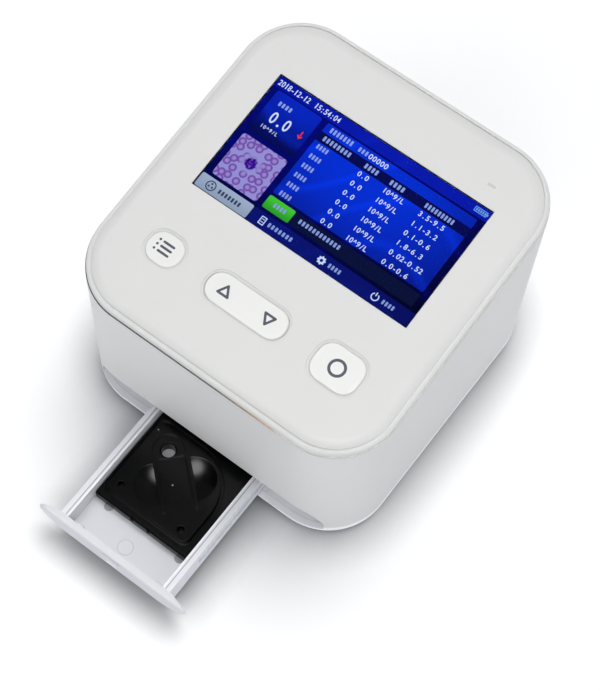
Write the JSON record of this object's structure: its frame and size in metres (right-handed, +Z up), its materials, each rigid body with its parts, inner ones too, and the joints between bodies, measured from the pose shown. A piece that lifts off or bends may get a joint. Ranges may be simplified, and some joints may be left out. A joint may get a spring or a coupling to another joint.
{
  "type": "white blood cell analyzer",
  "caption": "Square bench analyzer with a sloped face, a colour display, a row of keys and a pulled-out sample drawer with a black cuvette holder.",
  "frame": {"origin": "under the middle of the object's bounding box, drawer pulled out, on the surface the feet stand on", "axes": "+X to the right of a person in front of the instrument, +Y from the drawer's front to the rear wall (the longest extent), +Z up (the shortest extent)"},
  "size_m": [0.1326, 0.1938, 0.1006],
  "materials": {
    "housing_plastic": "fine satin moulding",
    "trim_plastic": "thin bronze strip",
    "window_clear": "clear hard-coated window",
    "display_blue": "lit colour display",
    "sheet_steel": "folded sheet",
    "key_plastic": "satin moulding",
    "board_green": "solder resist",
    "component_black": "moulded component",
    "switch_black": "moulded switch",
    "status_lens": "light bar",
    "base_plastic": "plain moulding",
    "foot_rubber": "soft foot",
    "drawer_plastic": "smooth moulding",
    "plug_grey": "plain plug",
    "holder_black": "satin black moulding",
    "slide_plastic": "low friction slide",
    "machined_aluminium": "machined",
    "ground_steel": "ground",
    "lens_black": "black anodised",
    "motor_steel": "drawn can",
    "battery_sleeve": "shrink sleeve",
    "speaker_black": "moulded frame and can"
  },
  "bodies": {
    "housing": {"outer_shell": "housing_plastic", "trim_ring": "trim_plastic", "bezel_ring": "housing_plastic", "top_cover": "housing_plastic", "display_window": "window_clear", "lcd_panel": "display_blue", "lcd_frame": "sheet_steel", "display_bracket": "sheet_steel", "tact_switches": "component_black", "key_board": "board_green", "status_light": "status_lens", "base_plate": "base_plastic", "rubber_feet": "foot_rubber", "drawer_bay": "drawer_plastic", "slide_rail_right": "slide_plastic", "slide_rail_left": "slide_plastic", "drawer_sensor": "component_black", "light_source": "board_green", "optics_tower": "machined_aluminium", "guide_rods": "ground_steel", "focus_motor": "motor_steel", "main_board": "board_green", "board_posts": "base_plastic", "heat_sink": "machined_aluminium", "battery_pack": "battery_sleeve", "battery_bracket": "sheet_steel", "speaker": "speaker_black", "port_panel": "base_plastic", "switch_body": "switch_black", "usb_port": "sheet_steel", "dc_socket": "component_black"},
    "drawer": {"drawer_tray": "drawer_plastic", "tray_plugs": "plug_grey", "drawer_front": "drawer_plastic", "cuvette_holder": "holder_black", "drawer_flag": "component_black"},
    "menu_key": {"menu_key": "key_plastic"},
    "nav_key": {"nav_key": "key_plastic"},
    "ok_key": {"ok_key": "key_plastic"},
    "power_rocker": {"power_rocker": "switch_black"},
    "focus_unit": {"focus_carriage": "machined_aluminium", "objective_lens": "lens_black", "camera_board": "board_green"},
    "lead_screw": {"lead_screw": "ground_steel"}
  },
  "joints": [
    {"name": "drawer_slide", "type": "slide", "parent": "housing", "child": "drawer", "axis": [0, 1, 0], "range_m": [0, 0.057]},
    {"name": "menu_press", "type": "slide", "parent": "housing", "child": "menu_key", "axis": [0, 0.1374, -0.9905], "range_m": [0, 0.0004], "stiffness_N_per_m": 300, "springref_m": -0.0005},
    {"name": "nav_rock", "type": "hinge", "parent": "housing", "child": "nav_key", "pos_m": [-0.0026, -0.00953, 0.08228], "axis": [0, 0.9905, 0.1374], "range_deg": [-1.8, 1.8], "stiffness_Nm_per_rad": 0.3},
    {"name": "ok_press", "type": "slide", "parent": "housing", "child": "ok_key", "axis": [0, 0.1374, -0.9905], "range_m": [0, 0.0004], "stiffness_N_per_m": 300, "springref_m": -0.0005},
    {"name": "power_rock", "type": "hinge", "parent": "housing", "child": "power_rocker", "pos_m": [-0.009, 0.0927, 0.0195], "axis": [1, 0, 0], "range_deg": [-16, 0]},
    {"name": "focus_slide", "type": "slide", "parent": "housing", "child": "focus_unit", "axis": [0, 0, 1], "range_m": [-0.0015, 0.0015]},
    {"name": "screw_spin", "type": "hinge", "parent": "housing", "child": "lead_screw", "pos_m": [-0.0108, 0.0275, 0], "axis": [0, 0, 1], "range_deg": [-545, 545]}
  ],
  "couplings": [
    {"joint": "screw_spin", "follows": "focus_slide", "rad_per_m": -6283.2}
  ]
}
